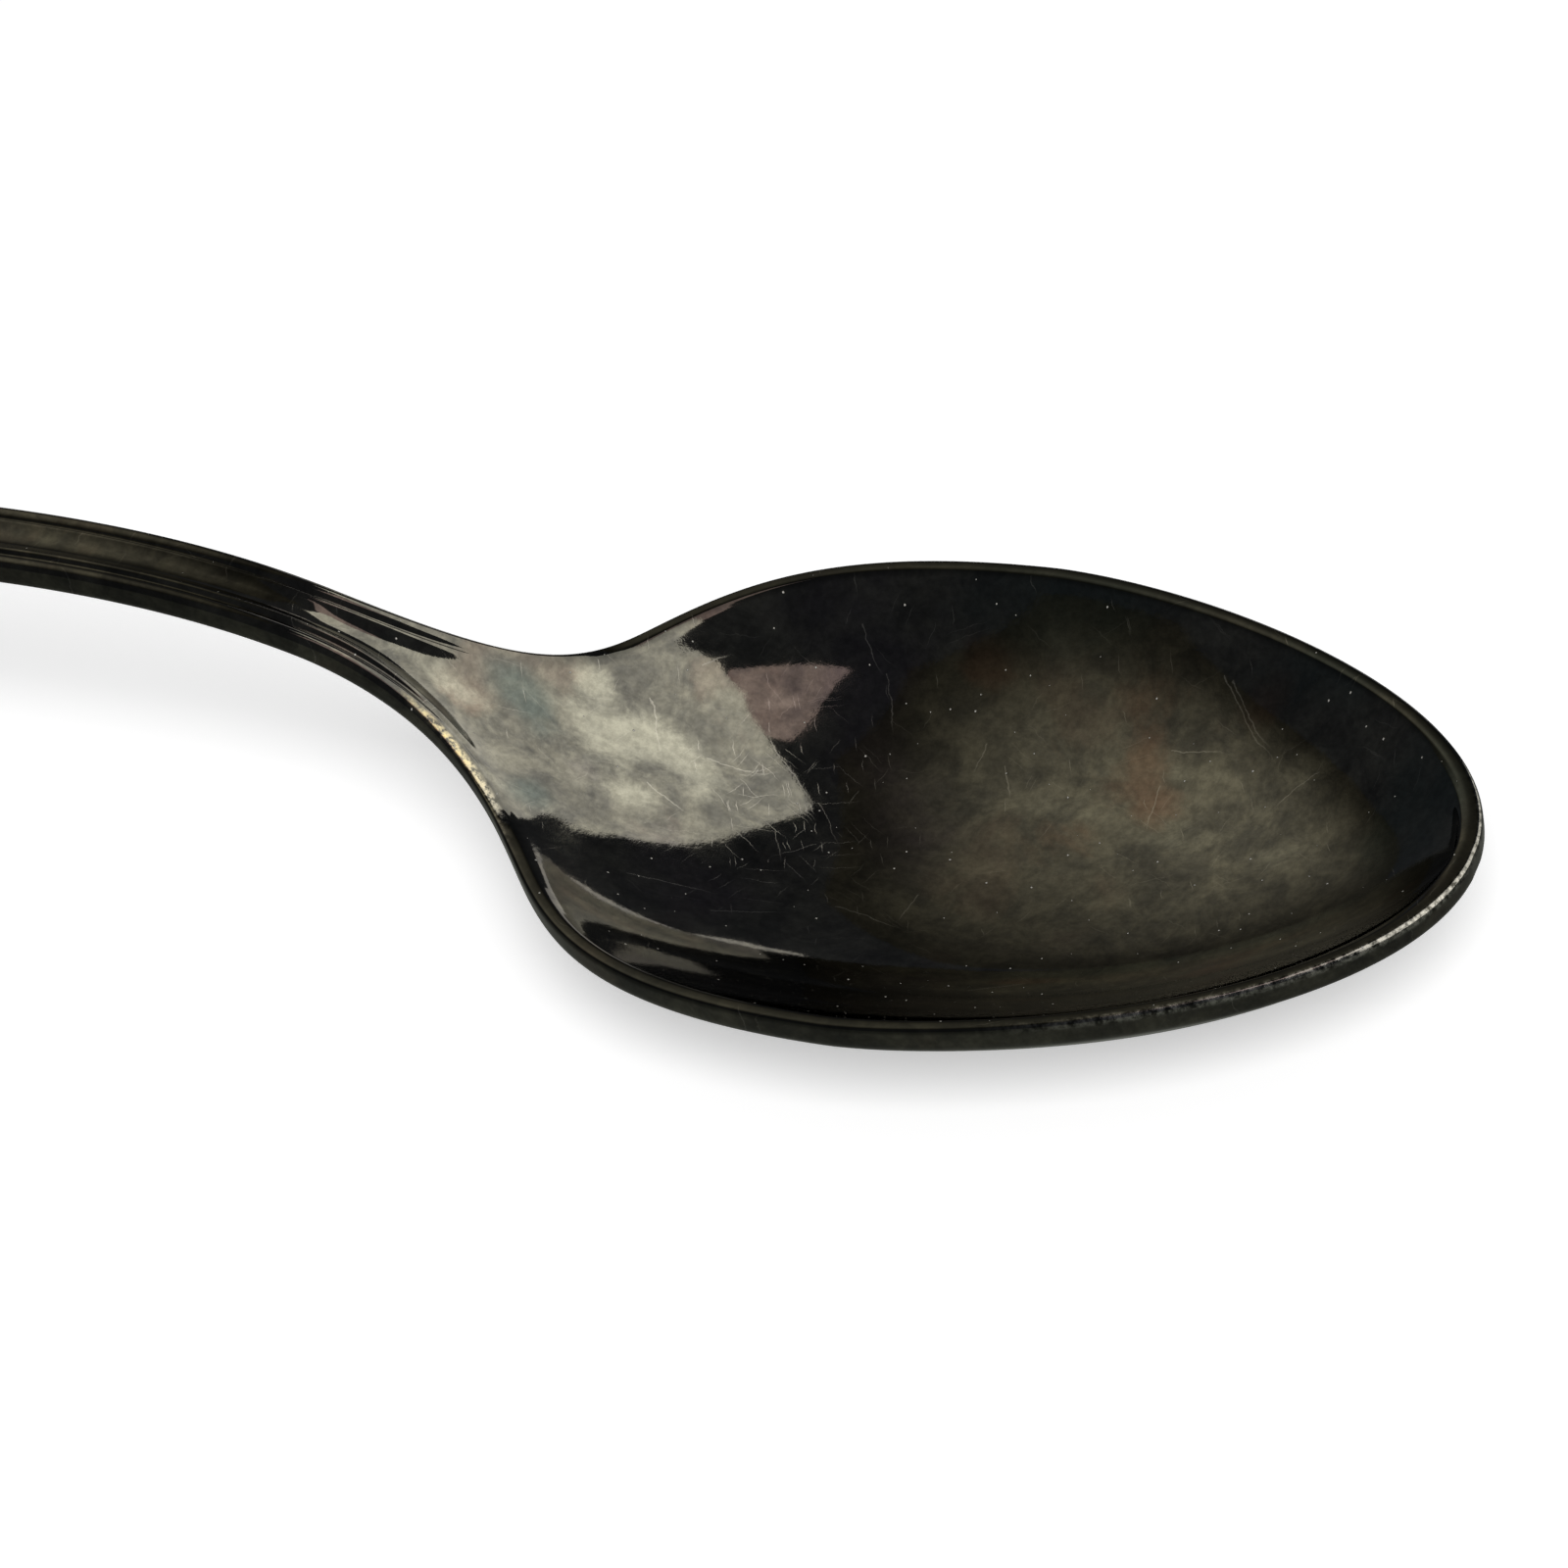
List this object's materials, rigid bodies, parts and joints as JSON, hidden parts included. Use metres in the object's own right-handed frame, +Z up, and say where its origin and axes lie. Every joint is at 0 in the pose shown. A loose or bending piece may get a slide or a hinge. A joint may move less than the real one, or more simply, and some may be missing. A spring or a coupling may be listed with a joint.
{
  "type": "souvenir spoon",
  "caption": "Small souvenir spoon: egg-shaped bowl, slender arched stem with raised edge threads, and a flat handle end carrying an enamelled shield badge with a plain landscape.",
  "frame": {"origin": "on the surface the spoon lies on, under the middle of its length and width", "axes": "+X from the handle end to the bowl tip, +Y across the bowl, +Z up out of the bowl"},
  "size_m": [0.146, 0.0286, 0.0153],
  "materials": {
    "silver_plate": "polished silver plate on nickel silver, heavily tarnished to dark olive grey",
    "solder": "dull grey soft solder",
    "badge_metal": "struck brass, aged",
    "enamel_sky": "glossy opaque blue enamel",
    "enamel_sun": "glossy opaque amber enamel",
    "enamel_snow": "glossy opaque white enamel",
    "enamel_mountain": "glossy opaque slate enamel",
    "enamel_meadow": "glossy opaque green enamel",
    "enamel_lake": "glossy opaque teal enamel"
  },
  "bodies": {
    "root": {"spoon_body": "silver_plate", "solder_seam": "solder", "badge_plate": "badge_metal", "enamel_sky": "enamel_sky", "enamel_sun": "enamel_sun", "enamel_snow": "enamel_snow", "enamel_mountain": "enamel_mountain", "enamel_meadow": "enamel_meadow", "enamel_lake": "enamel_lake"}
  },
  "joints": []
}
